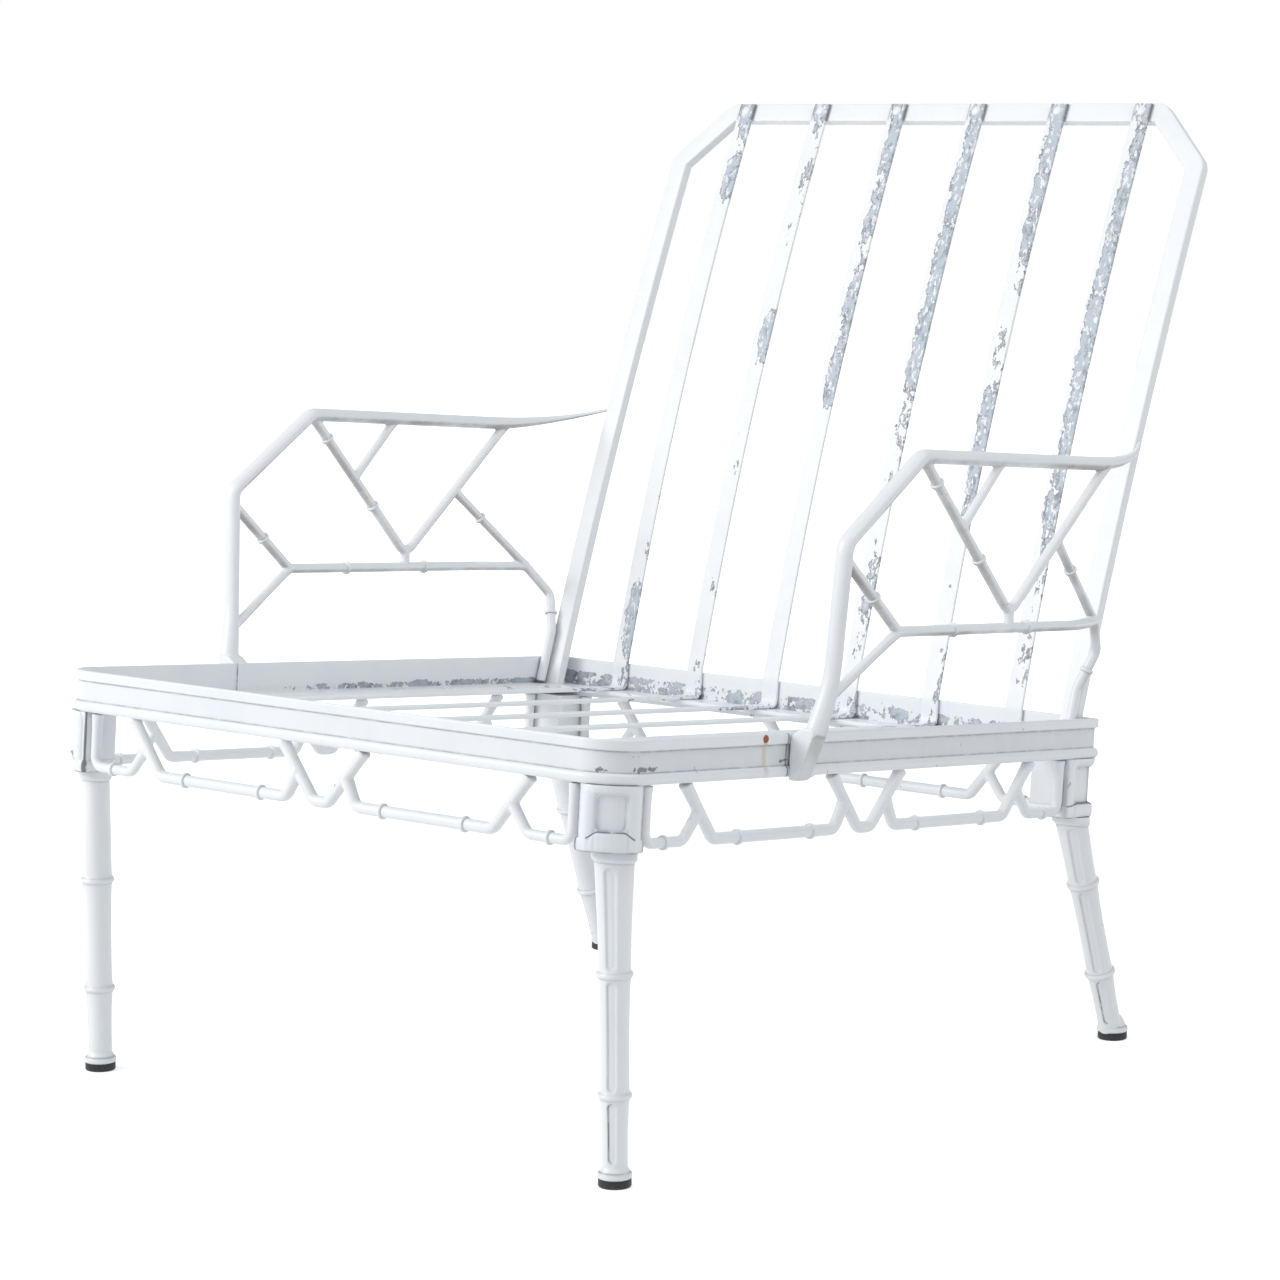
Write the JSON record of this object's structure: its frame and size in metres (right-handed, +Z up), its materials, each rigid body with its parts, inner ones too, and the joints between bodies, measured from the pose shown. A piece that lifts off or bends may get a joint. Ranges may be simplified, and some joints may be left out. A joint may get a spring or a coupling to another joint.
{
  "type": "outdoor lounge chair",
  "caption": "Rigid white metal lounge chair frame with bamboo-style fretwork arms and aprons, a slatted seat and back, and splayed rear legs on dark glides.",
  "frame": {"origin": "on the floor below the middle of the chair's bounding box", "axes": "+X to the chair's side that is on the right of someone who faces it, +Y from the front of the seat to the back, +Z up"},
  "size_m": [0.772, 0.917, 0.8994],
  "materials": {
    "frame": "worn satin white paint over cast aluminium",
    "slat": "peeling white paint over bare aluminium bar",
    "rivet": "painted over, dull",
    "glide": "matt black"
  },
  "bodies": {
    "root": {"back_frame": "frame", "back_rivets": "rivet", "front_apron": "frame", "front_left_block": "frame", "front_left_glide": "glide", "front_left_leg": "frame", "front_rail": "frame", "front_right_block": "frame", "front_right_glide": "glide", "front_right_leg": "frame", "left_apron": "frame", "left_arm": "frame", "left_side_rail": "frame", "rear_apron": "frame", "rear_left_block": "frame", "rear_left_glide": "glide", "rear_left_leg": "frame", "rear_rail": "frame", "rear_right_block": "frame", "rear_right_glide": "glide", "rear_right_leg": "frame", "right_apron": "frame", "right_arm": "frame", "right_side_rail": "frame", "seat_rivets": "rivet", "slat_1": "slat", "slat_2": "slat", "slat_3": "slat", "slat_4": "slat", "slat_5": "slat", "slat_6": "slat"}
  },
  "joints": []
}
